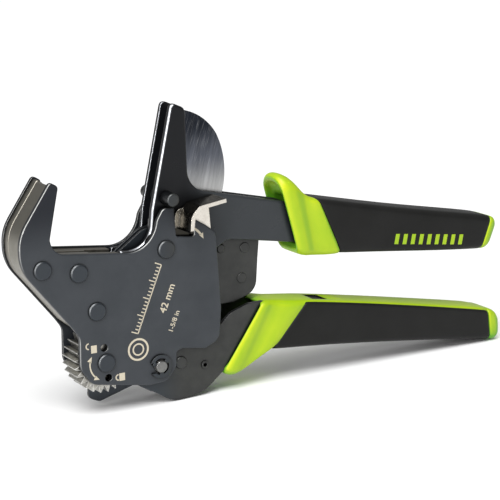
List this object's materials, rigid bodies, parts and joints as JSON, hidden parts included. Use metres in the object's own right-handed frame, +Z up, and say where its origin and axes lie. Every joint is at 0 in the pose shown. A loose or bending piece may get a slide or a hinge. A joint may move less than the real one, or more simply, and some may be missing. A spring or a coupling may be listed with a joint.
{
  "type": "pvc pipe cutter",
  "caption": "Ratcheting plastic pipe cutter with a hook jaw, a curved blade in a guard, a release lever, a lock wheel and two cushioned handles.",
  "frame": {"origin": "axis of the largest pipe (41.3 mm) seated in the hook jaw, on the tool's mid-plane", "axes": "+X from the hook jaw towards the grips, +Z up with the tool standing on its lower handle, +Y away from the side that carries the marks and the release tab"},
  "size_m": [0.2232, 0.0285, 0.1173],
  "materials": {
    "plate_coating": "matt dark coating",
    "guard_enamel": "gloss black enamel",
    "black_oxide": "satin black oxide",
    "nickel_plate": "bright nickel",
    "hook_steel": "dull plated steel",
    "machined_steel": "machined",
    "wheel_steel": "zinc",
    "spring_steel": "drawn wire",
    "blade_steel": "ground and polished",
    "green_grip": "soft satin",
    "black_grip": "soft matt"
  },
  "bodies": {
    "lower_handle": {"lower_handle_channel": "black_oxide", "lower_grip_shell": "green_grip", "lower_grip_cover": "black_grip", "lower_grip_end_cap": "green_grip", "drive_pawl_pin": "black_oxide", "roll_pin": "black_oxide", "handle_return_spring": "spring_steel", "drive_pawl_spring": "spring_steel"},
    "frame": {"front_side_plate": "plate_coating", "back_side_plate": "plate_coating", "front_handle_plate": "guard_enamel", "back_handle_plate": "guard_enamel", "handle_plate_spacer": "black_oxide", "hook_spacer": "hook_steel", "hook_spacer_back": "hook_steel", "frame_rivets": "black_oxide", "blade_pivot_pin": "black_oxide", "lock_wheel_pin": "black_oxide", "handle_pivot_pin": "machined_steel", "e_clips": "black_oxide", "stop_studs": "black_oxide", "holding_pawl_pin": "machined_steel", "blade_return_spring": "spring_steel", "holding_pawl_spring": "spring_steel", "upper_grip_collar": "green_grip", "upper_grip_sleeve": "black_grip", "upper_grip_end_cap": "green_grip"},
    "blade": {"blade": "blade_steel", "front_ratchet_sector": "black_oxide", "back_ratchet_sector": "black_oxide", "sector_rivets": "black_oxide", "sector_spacers": "machined_steel", "spring_post": "black_oxide"},
    "drive_pawl": {"drive_pawl": "machined_steel"},
    "holding_pawl": {"holding_pawl": "machined_steel"},
    "release_lever": {"release_lever": "nickel_plate"},
    "lock_wheel": {"lock_wheel": "wheel_steel", "detent_ball": "nickel_plate", "detent_spring": "spring_steel"}
  },
  "joints": [
    {"name": "handle_open", "type": "hinge", "parent": "lower_handle", "child": "frame", "pos_m": [0.0201, 0, -0.0683], "axis": [0, -1, 0], "range_deg": [0, 18]},
    {"name": "blade_swing", "type": "hinge", "parent": "frame", "child": "blade", "pos_m": [0.0241, 0, -0.0222], "axis": [0, -1, 0], "range_deg": [0, 92]},
    {"name": "release_lever", "type": "hinge", "parent": "frame", "child": "release_lever", "pos_m": [0.0241, 0, -0.0222], "axis": [0, 1, 0], "range_deg": [0, 15], "stiffness_Nm_per_rad": 0.1, "springref_deg": -11.46},
    {"name": "lock_wheel_turn", "type": "hinge", "parent": "frame", "child": "lock_wheel", "pos_m": [-0.0029, 0, -0.0632], "axis": [0, 1, 0], "range_deg": [0, 180]},
    {"name": "drive_pawl_pivot", "type": "hinge", "parent": "lower_handle", "child": "drive_pawl", "pos_m": [0.0302, 0, -0.0691], "axis": [0, -1, 0], "range_deg": [0, 22]},
    {"name": "holding_pawl_pivot", "type": "hinge", "parent": "frame", "child": "holding_pawl", "pos_m": [0.0138, 0, -0.0572], "axis": [0, 1, 0], "range_deg": [0, 8.5]}
  ],
  "couplings": [
    {"joint": "drive_pawl_pivot", "follows": "handle_open", "ratio": 1.18},
    {"joint": "holding_pawl_pivot", "follows": "release_lever", "ratio": 0.53}
  ]
}
